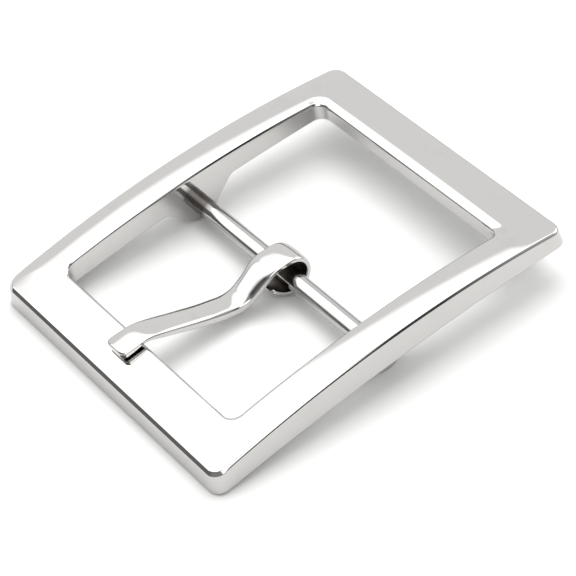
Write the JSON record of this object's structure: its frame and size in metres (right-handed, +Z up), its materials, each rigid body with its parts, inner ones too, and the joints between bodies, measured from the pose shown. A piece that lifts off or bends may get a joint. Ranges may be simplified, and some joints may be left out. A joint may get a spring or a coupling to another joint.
{
  "type": "belt buckle",
  "caption": "Polished metal centre-bar belt buckle: an arched rectangular frame, a round centre bar and a tongue that swings and slides on the bar.",
  "frame": {"origin": "middle of the buckle's footprint, on the surface it rests on", "axes": "+X along the belt from the front bar under the tongue's tip to the back bar, +Y along the centre bar, +Z up; the buckle rests on its front bar's lower edge and the two lobes, tilted 4.74 degrees so that the back bar is raised"},
  "size_m": [0.0642, 0.0516, 0.0099],
  "materials": {
    "frame_nickel": "mirror-polished nickel plate on die-cast zinc",
    "bar_steel": "polished nickel plate on steel",
    "tongue_nickel": "mirror-polished nickel plate on die-cast zinc"
  },
  "bodies": {
    "frame": {"frame": "frame_nickel"},
    "centre_bar": {"centre_bar": "bar_steel"},
    "tongue": {"tongue": "tongue_nickel"}
  },
  "joints": [
    {"name": "tongue_swing", "type": "hinge", "parent": "frame", "child": "centre_bar", "pos_m": [0.00002, 0, 0.00315], "axis": [0, 1, 0], "range_deg": [0, 156]},
    {"name": "tongue_slide", "type": "slide", "parent": "centre_bar", "child": "tongue", "axis": [0, 1, 0], "range_m": [-0.0173, 0.0164]}
  ]
}
